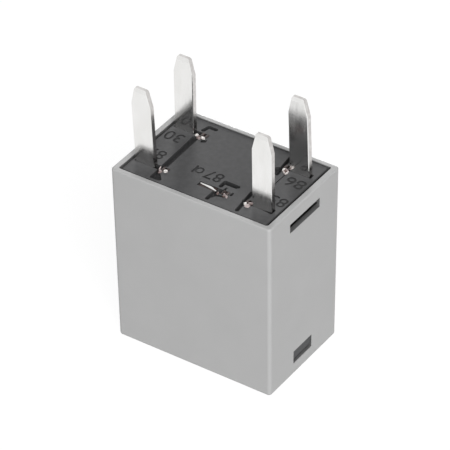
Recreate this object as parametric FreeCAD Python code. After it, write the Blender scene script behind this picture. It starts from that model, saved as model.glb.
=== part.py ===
import FreeCAD, Part
import math
import os

os.makedirs("parts", exist_ok=True)

Vector = FreeCAD.Vector

# All sizes are millimetres. The relay stands on the closed end of its cover, z = 0, with its
# blades up. X runs along the long side, and the yoke's bent end is at +X.

# Cover, a moulded tub that is open at its rim
cover_height = 25.7
cover_draft = 0.21
cover_end_wall = 0.73
cover_side_wall = 0.6
cover_floor = 0.9
cover_corner_radius = 0.45
cover_foot_radius = 0.4
cover_rim_radius = 0.2
cover_inner_radius = 0.35

# Windows in the cover: one for a snap catch in each end, one at +X for the bobbin's nib
snap_window_width = 6.55
snap_window_height = 1.35
snap_window_below_rim = 1.9
nib_window_width = 4.1
nib_window_height = 1.9
nib_window_z = 1.75
nib_window_y = -0.2
nib_setback = 0.1
nib_ramp = 0.6

# Base, a moulded plate that snaps in below the rim
base_recess = 0.1
base_thickness = 2.0
base_end_gap = 0.33
base_side_gap = 0.15
base_land = 0.15
base_corner_radius = 0.3
base_edge_chamfer = 0.1
skirt_thickness = 0.9
skirt_below_window = 0.2
catch_side_gap = 0.2
catch_ledge_gap = 0.75
catch_setback = 0.22

# Blades, four of them on a 16.8 by 8.4 grid, and the cut stub of the fifth
blade_pitch_x = 16.8
blade_pitch_y = 8.4
blade_shift_x = -0.2
blade_width = 2.8
blade_thickness = 0.8
blade_length = 10.7
blade_taper = 2.3
blade_tip_width = 1.65
blade_tip_radius = 0.25
blade_tip_thickness = 0.4
blade_bevel = 0.5
blade_edge_break = 0.08
stub_x = 0.37
stub_width = 2.5
stub_recess = 0.16

# Staked shoulders beside the blades, flush with the base
shoulder_reach_left = 1.8
shoulder_reach_right = 0.95
shoulder_reach_stub = 1.75
shoulder_drop = 0.7
stake_width = 0.9
stake_rise = 0.05
stake_notch = 0.3

# Slots and relief channels in the base
slot_gap = 0.02
slot_end_gap = 0.3
relief_width = 0.56
relief_depth = 0.6
relief_bevel = 0.3
relief_from_left_blade = 0.7
relief_from_right_blade = 1.1
relief_lean_left = 0.12
relief_lean_right = 0.2
relief_outward = 2.0
relief_inward = 1.8
relief_hook = 1.0
relief_stop = 0.9
stub_relief_reach = 1.85
stub_line_width = 0.3
stub_line_step = 0.8
stub_line_length = 0.9
scribe_width = 0.12
scribe_depth = 0.3

# Coil on its bobbin, with its axis along X
winding_overhang = 0.4
core_diameter = 4.4
bobbin_wall = 0.65
bobbin_bore_gap = 0.03
flange_thickness = 0.9
flange_margin = 0.6
flange_chamfer = 0.6
horn_width = 1.25
horn_thickness = 1.2
horn_yoke_gap = 0.15
horn_strip_gap = 0.45
bobbin_side_gap = 0.56
horn_seat_depth = 0.6
horn_root = 2.5
tape_thickness = 0.1
tape_margin_left = 0.3
tape_margin_right = 1.0
wire_diameter = 0.3

# Magnet: yoke, core head and armature
yoke_thickness = 1.2
yoke_bend_radius = 0.5
yoke_end_gap = 0.2
yoke_nib_gap = 0.25
pole_diameter = 6.6
pole_thickness = 1.0
core_tail_diameter = 3.0
armature_thickness = 1.0
armature_inset = 0.3
armature_foot_z = 2.2
armature_top_gap = 0.05
armature_chamfer = 0.75
armature_corner_radius = 0.8
armature_open_angle = 5.0
hinge_gap = 0.02

# Contact spring, a forked leaf riveted to the armature and to the yoke
spring_thickness = 0.25
spring_width = 7.8
spring_below_hinge = 8.3
spring_fork_below_hinge = 1.6
spring_finger_width = 2.0
spring_finger_reach = 4.0
spring_finger_radius = 0.8
spring_arm_width = 3.2
spring_arm_above_contact = 1.6
spring_arm_radius = 1.1
spring_lap = 0.5
armature_rivet_below_hinge = 5.4
armature_rivet_pitch = 4.4
armature_rivet_diameter = 1.3
yoke_rivet_reach = 2.8
yoke_rivet_diameter = 1.2
rivet_head_margin = 0.45
rivet_head = 0.35

# Contacts
contact_height = 5.4
contact_diameter = 2.8
contact_head = 0.55
contact_chamfer = 0.14
contact_shank_diameter = 1.4
contact_gap = 0.02
fixed_contact_diameter = 2.6
fixed_contact_head = 0.6
fixed_contact_dome = 4.0
fixed_contact_tail = 0.3
fixed_contact_tail_diameter = 2.0

# Inner ends of the terminals
strip_bend_radius = 0.4
plate_from_blade = 0.2
plate_below_contact = 1.6
plate_past_contact = 1.5
bar_height = 2.8
foot_x = 1.25
foot_width = 2.5
foot_length = 2.5
leg_width = 2.0
leg_above_yoke = 3.0
post_width = 0.8
post_above_yoke = 0.7
joint_above_yoke = 1.8
joint_radius = 0.75
joint_top_radius = 0.6
joint_height = 1.3

# Clearances shared by pieces that sit in or on one another
fit_gap = 0.05
rivet_gap = 0.02

# How far a cut runs past the piece that it cuts
cut_past = 1.0

# Blade places
left_x = blade_shift_x - blade_pitch_x / 2
right_x = blade_shift_x + blade_pitch_x / 2
front_y = -blade_pitch_y / 2
back_y = blade_pitch_y / 2
post_x = right_x - leg_width / 2 + post_width / 2

# Across the relay: the strips, then the horns beside them, the yoke and winding, and the cover
strip_outer_y = blade_pitch_y / 2 + blade_thickness / 2
horn_inner_y = strip_outer_y + horn_strip_gap
horn_outer_y = horn_inner_y + horn_width
yoke_width = 2 * (horn_inner_y - horn_yoke_gap)
armature_width = yoke_width - 2 * armature_inset
winding_diameter = yoke_width + 2 * winding_overhang
cover_depth = 2 * (horn_outer_y + bobbin_side_gap + cover_side_wall + cover_draft)

# Along the relay: the cover's ends are set by the outer blades
base_half_x = abs(blade_shift_x) + blade_pitch_x / 2 + blade_width / 2 + slot_end_gap + base_land
cover_width = 2 * (base_half_x + base_end_gap + cover_end_wall)

# Levels
base_top = cover_height - base_recess
base_bottom = base_top - base_thickness
flange_bottom = cover_floor + fit_gap
flange_half = winding_diameter / 2 + flange_margin
coil_axis_z = flange_bottom + flange_half
flange_top = coil_axis_z + flange_half
yoke_bottom = flange_top + fit_gap
yoke_top = yoke_bottom + yoke_thickness
yoke_foot = nib_window_z + nib_window_height + yoke_nib_gap
contact_z = yoke_top + contact_height
snap_window_top = cover_height - snap_window_below_rim
snap_window_bottom = snap_window_top - snap_window_height

# Stations along X from the left blade's plate: contacts, leaf, closed armature, pole and flange
plate_87_x = left_x + plate_from_blade
face_87_x = plate_87_x + blade_thickness / 2 + fixed_contact_head
leaf_outer_x = face_87_x + contact_gap + contact_head
leaf_inner_x = leaf_outer_x + spring_thickness
armature_inner_x = leaf_inner_x + armature_thickness
pole_x = armature_inner_x + hinge_gap
flange_left_x = pole_x + pole_thickness
winding_left_x = flange_left_x + flange_thickness
hinge = Vector(pole_x, 0, yoke_top)

# Stations from the cover's +X end: the yoke's bent end, and the winding fills what is left
yoke_outer_x = cover_width / 2 - cover_draft - cover_end_wall - yoke_end_gap
yoke_inner_x = yoke_outer_x - yoke_thickness
winding_right_x = yoke_inner_x - flange_thickness


def box(x0, x1, y0, y1, z0, z1):
    return Part.makeBox(x1 - x0, y1 - y0, z1 - z0, Vector(x0, y0, z0))


def rod(diameter, x0, x1, y, z):
    return Part.makeCylinder(diameter / 2, x1 - x0, Vector(x0, y, z), Vector(1, 0, 0))


def pin(diameter, x, y, z0, z1):
    return Part.makeCylinder(diameter / 2, z1 - z0, Vector(x, y, z0))


def prism(corners, along):
    """A prism on a closed outline of corner points."""
    return Part.Face(Part.makePolygon(corners + corners[:1])).extrude(along)


def upright(outline, y0, y1):
    """A plate with its outline given as (x, z) points, from y0 to y1."""
    return prism([Vector(x, y0, z) for x, z in outline], Vector(0, y1 - y0, 0))


def opened(shape):
    """Turns a piece from the closed armature's place to its place at rest, held open."""
    turned = shape.copy()
    turned.rotate(hinge, Vector(0, 1, 0), armature_open_angle)
    return turned


def rounded_rectangle(half_x, half_y, radius, z):
    """A closed wire with rounded corners, flat at height z."""
    edges = []
    for turn in range(4):
        a, b = (half_x, half_y) if turn % 2 == 0 else (half_y, half_x)
        corner = Vector(a - radius, b - radius, z)
        mid = corner + Vector(radius * math.cos(math.pi / 4), radius * math.sin(math.pi / 4), 0)
        start, end = corner + Vector(radius, 0, 0), corner + Vector(0, radius, 0)
        side = Part.makeLine(Vector(a, radius - b, z), start)
        arc = Part.Arc(start, mid, end).toShape()
        for edge in (side, arc):
            edge.rotate(Vector(0, 0, 0), Vector(0, 0, 1), 90 * turn)
            edges.append(edge)
    return Part.Wire(edges)


def strip_section(path, thickness, inner_radius, place):
    """The section of a bent strip on a centreline of (u, v) points. place() puts a point in space."""
    half, radius = thickness / 2, inner_radius + thickness / 2
    runs = []
    for (u0, v0), (u1, v1) in zip(path, path[1:]):
        length = math.hypot(u1 - u0, v1 - v0)
        runs.append(((u1 - u0) / length, (v1 - v0) / length))

    def beside(point, run, offset):
        return (point[0] - offset * run[1], point[1] + offset * run[0])

    sides = []
    for side in (1, -1):
        edges, last = [], beside(path[0], runs[0], side * half)
        for point, run, following in zip(path[1:-1], runs, runs[1:]):
            cross = run[0] * following[1] - run[1] * following[0]
            turn = math.atan2(cross, run[0] * following[0] + run[1] * following[1])
            bend = math.copysign(1, turn)
            reach = radius * math.tan(abs(turn) / 2)
            enter = (point[0] - run[0] * reach, point[1] - run[1] * reach)
            leave = (point[0] + following[0] * reach, point[1] + following[1] * reach)
            centre = beside(enter, run, bend * radius)
            out = math.hypot(point[0] - centre[0], point[1] - centre[1])
            share = (radius - side * bend * half) / out
            middle = tuple(c + (p - c) * share for c, p in zip(centre, point))
            first, final = beside(enter, run, side * half), beside(leave, following, side * half)
            edges.append(Part.makeLine(place(*last), place(*first)))
            edges.append(Part.Arc(place(*first), place(*middle), place(*final)).toShape())
            last = final
        end = beside(path[-1], runs[-1], side * half)
        edges.append(Part.makeLine(place(*last), place(*end)))
        sides.append((edges, beside(path[0], runs[0], side * half), end))
    (left, left_start, left_end), (right, right_start, right_end) = sides
    start_cap = Part.makeLine(place(*left_start), place(*right_start))
    end_cap = Part.makeLine(place(*left_end), place(*right_end))
    return Part.Face(Part.Wire(Part.__sortEdges__(left + right + [start_cap, end_cap])))


def shell_half_x(z, wall=0.0):
    """Half the cover's width at height z, taken in by a wall."""
    return cover_width / 2 - cover_draft * (1 - z / cover_height) - wall


def shell_half_y(z, wall=0.0):
    return cover_depth / 2 - cover_draft * (1 - z / cover_height) - wall


def tub(z0, z1, end_wall, side_wall, radius):
    """A drafted block of the cover's form between two heights, its upright edges rounded."""
    x0, y0 = shell_half_x(z0, end_wall), shell_half_y(z0, side_wall)
    x1, y1 = shell_half_x(z1, end_wall), shell_half_y(z1, side_wall)
    block = Part.makeWedge(-x0, z0, -y0, -y1, -x1, x0, z1, y0, y1, x1)
    block.rotate(Vector(0, 0, 0), Vector(1, 0, 0), 90)
    return block.makeFillet(radius, [e for e in block.Edges if e.BoundBox.ZLength > (z1 - z0) / 2])


def edges_at(shape, z):
    """The edges that lie flat at height z."""
    return [e for e in shape.Edges if abs(e.BoundBox.ZMin - z) + abs(e.BoundBox.ZMax - z) < 1e-4]


def make_cover():
    outside = tub(0, cover_height, 0, 0, cover_corner_radius)
    outside = outside.makeFillet(cover_rim_radius, edges_at(outside, cover_height))
    outside = outside.makeFillet(cover_foot_radius, edges_at(outside, 0))
    inside = tub(cover_floor, cover_height + cut_past, cover_end_wall, cover_side_wall, cover_inner_radius)
    cover = outside.cut(inside)
    reach = cover_width / 2 + cut_past
    half = snap_window_width / 2
    cuts = [box(-reach, reach, -half, half, snap_window_bottom, snap_window_top)]
    half = nib_window_width / 2
    cuts.append(box(yoke_inner_x, reach, nib_window_y - half, nib_window_y + half,
                    nib_window_z, nib_window_z + nib_window_height))
    return cover.cut(cuts)


def shoulder_reach(x):
    """How far the staked shoulder runs from the blade's inner edge, for the blade at x."""
    return {left_x: shoulder_reach_left, right_x: shoulder_reach_right}.get(x, shoulder_reach_stub)


def inward(x):
    """The side of the blade at x that its shoulder is on."""
    return -1 if x == right_x else 1


def inner_edge(x):
    """Where the blade at x, or the narrower stub, ends and its shoulder starts."""
    return x + inward(x) * (stub_width if x == stub_x else blade_width) / 2


def shoulder_tip(x):
    return inner_edge(x) + inward(x) * shoulder_reach(x)


def shoulder_outline(x):
    """The staked shoulder from its outer foot to the blade's inner edge, as (x, z) points."""
    side, tip, top = inward(x), shoulder_tip(x), base_top + stake_rise
    inner = tip - side * stake_width
    notch = tip - side * stake_width / 2
    low = base_top - shoulder_drop
    points = [(tip, base_bottom), (tip, top), (notch + side * stake_notch / 2, top)]
    points += [(notch, top - stake_notch), (notch - side * stake_notch / 2, top), (inner, top)]
    points += [(inner, low), (inner_edge(x), low)]
    return points


def make_blade(x, y):
    """A blade with its staked shoulder, down to the base's underside."""
    side = inward(x)
    tip_z = base_top + blade_length
    taper_z = tip_z - blade_taper
    points = shoulder_outline(x)
    points += [(x + side * blade_width / 2, taper_z), (x + side * blade_tip_width / 2, tip_z)]
    points += [(x - side * blade_tip_width / 2, tip_z), (x - side * blade_width / 2, taper_z)]
    points += [(x - side * blade_width / 2, base_bottom)]
    half = blade_thickness / 2
    blade = upright(points, y - half, y + half)
    tip_edges = [e for e in blade.Edges if e.Length < blade_thickness + 0.01
                 and e.BoundBox.ZMin > tip_z - 0.01 and e.BoundBox.XLength < 0.01]
    blade = blade.makeFillet(blade_tip_radius, tip_edges)
    for sign in (1, -1):
        inner, outer = y + sign * blade_tip_thickness / 2, y + sign * (half + 0.01)
        low, high = tip_z - blade_bevel, tip_z + 0.01
        wedge = [Vector(x - blade_width, yy, zz) for yy, zz in
                 ((y + sign * half, low), (outer, low), (outer, high), (inner, high))]
        blade = blade.cut(prism(wedge, Vector(2 * blade_width, 0, 0)))
    long_edges = [e for e in blade.Edges if e.BoundBox.ZMin < taper_z + blade_edge_break
                  and e.BoundBox.ZMax > taper_z - blade_edge_break and e.BoundBox.YLength < 0.01]
    return blade.makeChamfer(blade_edge_break, long_edges)


def drilled(shape, diameter, gap, y, z):
    """A hole along X right through a piece."""
    reach = cover_width
    return shape.cut(rod(diameter + 2 * gap, -reach, reach, y, z))


def contact_terminal(blade, x, y, plate_x):
    """A blade whose strip turns under the base and carries a fixed contact."""
    low = contact_z - plate_below_contact
    section = strip_section([(inner_edge(x), y), (plate_x, y), (plate_x, plate_past_contact)],
                            blade_thickness, strip_bend_radius, lambda u, v: Vector(u, v, low))
    plate = section.extrude(Vector(0, 0, base_bottom - low))
    corner = [e for e in plate.Edges if e.BoundBox.XLength > blade_thickness - 0.01
              and e.BoundBox.YMin > plate_past_contact - 0.01 and e.BoundBox.ZMax < low + 0.01]
    plate = plate.makeFillet(blade_thickness, corner)
    terminal = blade.fuse(plate).removeSplitter()
    return terminal.cut(rod(contact_shank_diameter + 2 * rivet_gap, plate_x - cut_past, plate_x + cut_past,
                            0, contact_z))


def contact_face_87a():
    """The top of terminal 87a's dome, clear of the moving contact when the armature is open."""
    angle = math.radians(armature_open_angle)
    face = leaf_inner_x + contact_head - hinge.x
    reach = fixed_contact_dome + face + contact_gap + contact_height * math.sin(angle)
    return hinge.x - fixed_contact_dome + reach / math.cos(angle)


def plate_x_87a():
    return contact_face_87a() + fixed_contact_head + blade_thickness / 2


def make_terminal_87():
    return contact_terminal(make_blade(left_x, front_y), left_x, front_y, plate_87_x)


def make_terminal_87a():
    """The fifth terminal, with its blade cut off just below the base's face."""
    half = blade_thickness / 2
    top = base_top - stub_recess
    points = shoulder_outline(stub_x)
    points += [(stub_x + stub_width / 2, top), (stub_x - stub_width / 2, top)]
    points += [(stub_x - stub_width / 2, base_bottom)]
    stub = upright(points, front_y - half, front_y + half)
    return contact_terminal(stub, stub_x, front_y, plate_x_87a())


def make_terminal_30():
    """The common terminal, a flat strip with a leg down to a foot welded on the yoke."""
    half = blade_thickness / 2
    outer = left_x - blade_width / 2
    leg_left, leg_right = foot_x - foot_width / 2, foot_x + foot_width / 2
    bar = box(outer, leg_right, back_y - half, back_y + half, base_bottom - bar_height, base_bottom)
    foot_z = yoke_top + half
    path = [(back_y, base_bottom - bar_height / 2), (back_y, foot_z), (back_y + half - foot_length, foot_z)]
    section = strip_section(path, blade_thickness, strip_bend_radius, lambda u, v: Vector(leg_left, u, v))
    leg = section.extrude(Vector(foot_width, 0, 0))
    return make_blade(left_x, back_y).fuse([bar, leg]).removeSplitter()


def make_coil_terminal(y):
    """A blade with a leg down to the post that the coil's wire is soldered to."""
    half = blade_thickness / 2
    left, right = right_x - leg_width / 2, right_x + leg_width / 2
    leg = box(left, right, y - half, y + half, yoke_top + leg_above_yoke, base_bottom)
    post = box(left, left + post_width, y - half, y + half, yoke_top + post_above_yoke, base_bottom)
    return make_blade(right_x, y).fuse([leg, post]).removeSplitter()


def channel(start, end, width, depth):
    """The cutter for a relief in the base's outer face, from one point to another, with bevelled ends."""
    run = Vector(end[0] - start[0], end[1] - start[1], 0)
    half = width / 2
    bevel = relief_bevel * width
    near, far, inner = -half, run.Length + half, half - bevel
    corners = [(near, -inner), (near + bevel, -half), (far - bevel, -half), (far, -inner)]
    corners += [(u, -v) for u, v in corners[::-1]]
    cutter = prism([Vector(u, v, base_top - depth) for u, v in corners], Vector(0, 0, depth + cut_past))
    cutter.rotate(Vector(0, 0, 0), Vector(0, 0, 1), math.degrees(math.atan2(run.y, run.x)))
    cutter.translate(Vector(start[0], start[1], 0))
    return cutter


def relief_channels():
    """The dark reliefs that the mould leaves round each staked shoulder."""
    left = left_x + blade_width / 2 + relief_from_left_blade
    right = right_x - blade_width / 2 - relief_from_right_blade
    stub, corner = inner_edge(stub_x), front_y + stub_relief_reach
    line, beyond = stub + stub_line_step, shoulder_tip(stub_x) + stub_line_width
    front, back = front_y - relief_outward, back_y + relief_inward
    left_front, left_back = left + relief_lean_left, left - relief_lean_left
    right_front, right_back = right + relief_lean_right, right - relief_lean_right
    runs = [
        ((left_front, front), (left_back, back_y - relief_stop)),
        ((left_front, front), (left_front + relief_hook, front)),
        ((left_front, front_y - relief_stop), (left_front + relief_hook, front)),
        ((left_back, back_y + relief_stop), (left_front, back)),
        ((left_front, back), (left_front + relief_hook, back)),
        ((right_front, front), (right_back, front_y + relief_inward)),
        ((right_front, back_y - relief_inward), (right_back, back)),
        ((stub, front), (stub, front_y - relief_width)),
        ((stub, front_y + relief_stop), (stub, corner)),
        ((stub, corner), (stub + stub_relief_reach, corner)),
    ]
    lines = [
        ((line, front_y + blade_thickness / 2), (line, front_y + stub_line_length)),
        ((beyond, front_y), (beyond, front_y + blade_thickness / 2)),
    ]
    scribe_x = right_x - blade_width / 2
    cuts = [channel((scribe_x, front_y), (scribe_x, back_y), scribe_width, scribe_depth)]
    for width, group in ((relief_width, runs), (stub_line_width, lines)):
        for start, end in group:
            cuts.append(channel(start, end, width, relief_depth))
    return cuts


def terminal_slot(x, y):
    """The slot that a strip is pressed into, open past the blade's outer edge."""
    side = inward(x)
    outer_edge = 2 * x - inner_edge(x)
    ends = sorted([shoulder_tip(x) + side * slot_gap, outer_edge - side * slot_end_gap])
    half = blade_thickness / 2 + slot_gap
    return box(ends[0], ends[1], y - half, y + half, base_bottom - cut_past, base_top + cut_past)


def horn_boxes(grow, top):
    """The bobbin's four horns, or the sockets for them, grown by a clearance."""
    horns = []
    for x in (flange_left_x, yoke_inner_x - horn_thickness):
        for ends in ((horn_inner_y, horn_outer_y), (-horn_outer_y, -horn_inner_y)):
            horns.append(box(x - grow, x + horn_thickness + grow, ends[0] - grow, ends[1] + grow,
                             flange_top - horn_root, top))
    return horns


def make_base():
    half_x, half_y = base_half_x, shell_half_y(cover_height, cover_side_wall) - base_side_gap
    outline = rounded_rectangle(half_x, half_y, base_corner_radius, base_bottom)
    plate = Part.Face(outline).extrude(Vector(0, 0, base_thickness))
    plate = plate.makeChamfer(base_edge_chamfer, edges_at(plate, base_top))
    skirt_half = snap_window_width / 2 - catch_side_gap
    low = snap_window_bottom - skirt_below_window
    ledge = snap_window_top - catch_ledge_gap
    tip = shell_half_x(ledge) - catch_setback
    added = []
    for sign in (1, -1):
        skirt = [(half_x - skirt_thickness, base_bottom), (half_x - skirt_thickness, low)]
        skirt += [(half_x, low), (half_x, snap_window_bottom), (tip, ledge), (half_x, ledge)]
        skirt += [(half_x, base_bottom)]
        added.append(upright([(sign * x, z) for x, z in skirt], -skirt_half, skirt_half))
    base = plate.fuse(added).removeSplitter()
    places = [(left_x, front_y), (left_x, back_y), (right_x, front_y), (right_x, back_y)]
    cuts = [terminal_slot(x, y) for x, y in places + [(stub_x, front_y)]]
    return base.cut(cuts + relief_channels() + horn_boxes(fit_gap, base_bottom + horn_seat_depth))


def make_bobbin():
    bore = core_diameter + 2 * bobbin_bore_gap
    barrel = bore + 2 * bobbin_wall
    body = [rod(barrel, flange_left_x, yoke_inner_x, 0, coil_axis_z)]
    body.append(box(flange_left_x, winding_left_x, -flange_half, flange_half, flange_bottom, flange_top))
    right = box(winding_right_x, yoke_inner_x, -flange_half, flange_half, flange_bottom, flange_top)
    corner = [e for e in edges_at(right, flange_top) if e.BoundBox.XMin > yoke_inner_x - 0.01]
    body.append(right.makeChamfer(flange_chamfer, corner))
    body += horn_boxes(0, base_bottom + horn_seat_depth - fit_gap)
    half = nib_window_width / 2 - fit_gap
    low, high = nib_window_z + fit_gap, nib_window_z + nib_window_height - fit_gap
    tip = shell_half_x(low) - nib_setback
    nib = [(winding_right_x, low), (tip - nib_ramp / 2, low), (tip, low + nib_ramp), (tip, high)]
    nib.append((winding_right_x, high))
    body.append(upright(nib, nib_window_y - half, nib_window_y + half))
    bobbin = body[0].fuse(body[1:]).removeSplitter()
    return drilled(bobbin, bore, 0, 0, coil_axis_z)


def sleeve(outer, inner, x0, x1):
    return rod(outer, x0, x1, 0, coil_axis_z).cut(rod(inner, x0, x1, 0, coil_axis_z))


def make_winding():
    inner = core_diameter + 2 * bobbin_bore_gap + 2 * bobbin_wall
    return sleeve(winding_diameter, inner, winding_left_x, winding_right_x)


def make_tape():
    outer = winding_diameter + 2 * tape_thickness
    return sleeve(outer, winding_diameter, winding_left_x + tape_margin_left,
                  winding_right_x - tape_margin_right)


def make_core():
    """A headed pin, staked flush in the yoke."""
    core = rod(core_diameter, pole_x, yoke_inner_x, 0, coil_axis_z)
    head = rod(pole_diameter, pole_x, flange_left_x, 0, coil_axis_z)
    tail = rod(core_tail_diameter, yoke_inner_x, yoke_outer_x, 0, coil_axis_z)
    return core.fuse([head, tail]).removeSplitter()


def yoke_rivet_places():
    y = spring_width / 2 - spring_finger_width / 2
    return [(hinge.x + yoke_rivet_reach, sign * y) for sign in (1, -1)]


def make_yoke():
    half = yoke_thickness / 2
    path = [(yoke_outer_x - half, yoke_foot), (yoke_outer_x - half, yoke_top - half),
            (hinge.x, yoke_top - half)]
    section = strip_section(path, yoke_thickness, yoke_bend_radius,
                            lambda u, v: Vector(u, -yoke_width / 2, v))
    yoke = section.extrude(Vector(0, yoke_width, 0))
    holes = [rod(core_tail_diameter + 2 * rivet_gap, yoke_inner_x - cut_past, yoke_outer_x + cut_past,
                 0, coil_axis_z)]
    for x, y in yoke_rivet_places():
        holes.append(pin(yoke_rivet_diameter + 2 * rivet_gap, x, y,
                         yoke_bottom - cut_past, yoke_top + cut_past))
    return yoke.cut(holes)


def armature_rivet_places():
    z = hinge.z - armature_rivet_below_hinge
    return [(sign * armature_rivet_pitch / 2, z) for sign in (1, -1)]


def make_armature():
    """The hinged plate, drawn against the pole and then turned open."""
    half = armature_width / 2
    top = hinge.z - armature_top_gap
    plate = box(leaf_inner_x, armature_inner_x, -half, half, armature_foot_z, top)
    corners = [e for e in plate.Edges if e.BoundBox.XLength > armature_thickness - 0.01
               and e.BoundBox.ZMax < armature_foot_z + 0.01]
    plate = plate.makeFillet(armature_corner_radius, corners)
    outer_top = [e for e in edges_at(plate, top) if e.BoundBox.XMax < leaf_inner_x + 0.01]
    plate = plate.makeChamfer(armature_chamfer, outer_top)
    for y, z in armature_rivet_places():
        plate = drilled(plate, armature_rivet_diameter, rivet_gap, y, z)
    return opened(plate)


def make_spring():
    """A forked leaf: its outer fingers bend over onto the yoke, and its middle arm holds the contact."""
    half = spring_width / 2
    foot, fork = hinge.z - spring_below_hinge, hinge.z - spring_fork_below_hinge
    leaf = box(leaf_outer_x, leaf_inner_x, -half, half, foot, fork)
    arm_half = spring_arm_width / 2
    arm = box(leaf_outer_x, leaf_inner_x, -arm_half, arm_half, foot, contact_z + spring_arm_above_contact)
    tops = [e for e in arm.Edges if e.BoundBox.XLength > spring_thickness - 0.01
            and e.BoundBox.ZMin > contact_z + spring_arm_above_contact - 0.01]
    leaf = leaf.fuse(arm.makeFillet(spring_arm_radius, tops)).removeSplitter()
    for y, z in armature_rivet_places() + [(0, contact_z)]:
        diameter = contact_shank_diameter if z == contact_z else armature_rivet_diameter
        leaf = drilled(leaf, diameter, rivet_gap, y, z)
    leaf = opened(leaf)
    middle = leaf_outer_x + spring_thickness / 2
    angle = math.radians(armature_open_angle)
    level = hinge.z + spring_thickness / 2

    def on_leaf(z):
        """A point of the leaf's middle plane at rest, from its height when closed."""
        across, up = middle - hinge.x, z - hinge.z
        x = hinge.x + across * math.cos(angle) + up * math.sin(angle)
        return x, hinge.z - across * math.sin(angle) + up * math.cos(angle)

    start = on_leaf(fork - spring_lap)
    corner_x = start[0] + (level - start[1]) * math.tan(angle)
    path = [start, (corner_x, level), (hinge.x + spring_finger_reach, level)]
    fingers = []
    for y in (-half, half - spring_finger_width):
        section = strip_section(path, spring_thickness, spring_finger_radius, lambda u, v: Vector(u, y, v))
        fingers.append(section.extrude(Vector(0, spring_finger_width, 0)))
    spring = leaf.fuse(fingers).removeSplitter()
    holes = [pin(yoke_rivet_diameter + 2 * fit_gap, x, y, yoke_top - cut_past, yoke_top + cut_past)
             for x, y in yoke_rivet_places()]
    return spring.cut(holes)


def make_armature_rivets():
    """Two rivets through the leaf and the armature, flush on the pole side."""
    rivets = []
    head = armature_rivet_diameter + 2 * rivet_head_margin
    for y, z in armature_rivet_places():
        shank = rod(armature_rivet_diameter, leaf_outer_x, armature_inner_x, y, z)
        rivet = shank.fuse(rod(head, leaf_outer_x - rivet_head, leaf_outer_x, y, z)).removeSplitter()
        rivets.append(opened(rivet))
    return Part.makeCompound(rivets)


def make_yoke_rivets():
    """Two rivets that hold the spring's fingers on the yoke, flush underneath."""
    rivets = []
    seat = yoke_top + spring_thickness
    head = yoke_rivet_diameter + 2 * rivet_head_margin
    for x, y in yoke_rivet_places():
        shank = pin(yoke_rivet_diameter, x, y, yoke_bottom, seat)
        rivets.append(shank.fuse(pin(head, x, y, seat, seat + rivet_head)).removeSplitter())
    return Part.makeCompound(rivets)


def make_moving_contact():
    """A double-headed contact rivet in the spring's arm."""
    shank = rod(contact_shank_diameter, leaf_outer_x, leaf_inner_x, 0, contact_z)
    heads = [rod(contact_diameter, leaf_outer_x - contact_head, leaf_outer_x, 0, contact_z),
             rod(contact_diameter, leaf_inner_x, leaf_inner_x + contact_head, 0, contact_z)]
    rounded = []
    for head, face in zip(heads, (leaf_outer_x - contact_head, leaf_inner_x + contact_head)):
        rim = [e for e in head.Edges if abs(e.BoundBox.XMin - face) + abs(e.BoundBox.XMax - face) < 1e-4]
        rounded.append(head.makeChamfer(contact_chamfer, rim))
    return opened(shank.fuse(rounded).removeSplitter())


def fixed_contact(plate_x, toward):
    """A domed contact rivet in a plate, facing +X or -X."""
    plate_face = blade_thickness / 2
    apex = plate_face + fixed_contact_head
    head = rod(fixed_contact_diameter, plate_face, apex, 0, contact_z)
    dome = Part.makeSphere(fixed_contact_dome, Vector(apex - fixed_contact_dome, 0, contact_z))
    shank = rod(contact_shank_diameter, -plate_face, plate_face, 0, contact_z)
    tail = rod(fixed_contact_tail_diameter, -plate_face - fixed_contact_tail, -plate_face, 0, contact_z)
    contact = head.common(dome).fuse([shank, tail]).removeSplitter()
    if toward < 0:
        contact.rotate(Vector(0, 0, contact_z), Vector(0, 0, 1), 180)
    contact.translate(Vector(plate_x, 0, 0))
    return contact


def post_face(y):
    """The outer face of the soldering post in the front or the back row."""
    return y + math.copysign(blade_thickness / 2, y)


def make_lead(y):
    """One end of the coil's wire, up past the yoke's edge and over to its post."""
    side = math.copysign(1, y)
    out = side * (winding_diameter / 2 + wire_diameter / 2 + rivet_gap)
    joint_z = yoke_top + joint_above_yoke
    start, corner = Vector(post_x, out, coil_axis_z), Vector(post_x, out, joint_z)
    end = Vector(post_x, post_face(y), joint_z)
    route = Part.Wire([Part.makeLine(start, corner), Part.makeLine(corner, end)])
    section = Part.Wire(Part.makeCircle(wire_diameter / 2, start, Vector(0, 0, 1)))
    mitred = 1
    return route.makePipeShell([section], True, False, mitred)


def make_solder_joints(pieces):
    """A bead of solder round each post and wire end, fuller below, where it ran down."""
    low = yoke_top + joint_above_yoke - joint_height / 2
    beads = [Part.makeCone(joint_radius, joint_top_radius, joint_height, Vector(post_x, y, low)).cut(pieces)
             for y in (front_y, back_y)]
    return Part.makeCompound(beads)


def build():
    parts = {
        "cover": make_cover(),
        "base": make_base(),
        "terminal_30": make_terminal_30(),
        "terminal_85": make_coil_terminal(front_y),
        "terminal_86": make_coil_terminal(back_y),
        "terminal_87": make_terminal_87(),
        "terminal_87a": make_terminal_87a(),
        "bobbin": make_bobbin(),
        "winding": make_winding(),
        "winding_tape": make_tape(),
        "core": make_core(),
        "yoke": make_yoke(),
        "yoke_rivets": make_yoke_rivets(),
        "armature": make_armature(),
        "armature_rivets": make_armature_rivets(),
        "contact_spring": make_spring(),
        "moving_contact": make_moving_contact(),
        "fixed_contact_87": fixed_contact(plate_87_x, 1),
        "fixed_contact_87a": fixed_contact(plate_x_87a(), -1),
        "coil_lead_85": make_lead(front_y),
        "coil_lead_86": make_lead(back_y),
    }
    wired = ("terminal_85", "terminal_86", "coil_lead_85", "coil_lead_86")
    parts["solder_joints"] = make_solder_joints([parts[name] for name in wired])
    return parts


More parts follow.
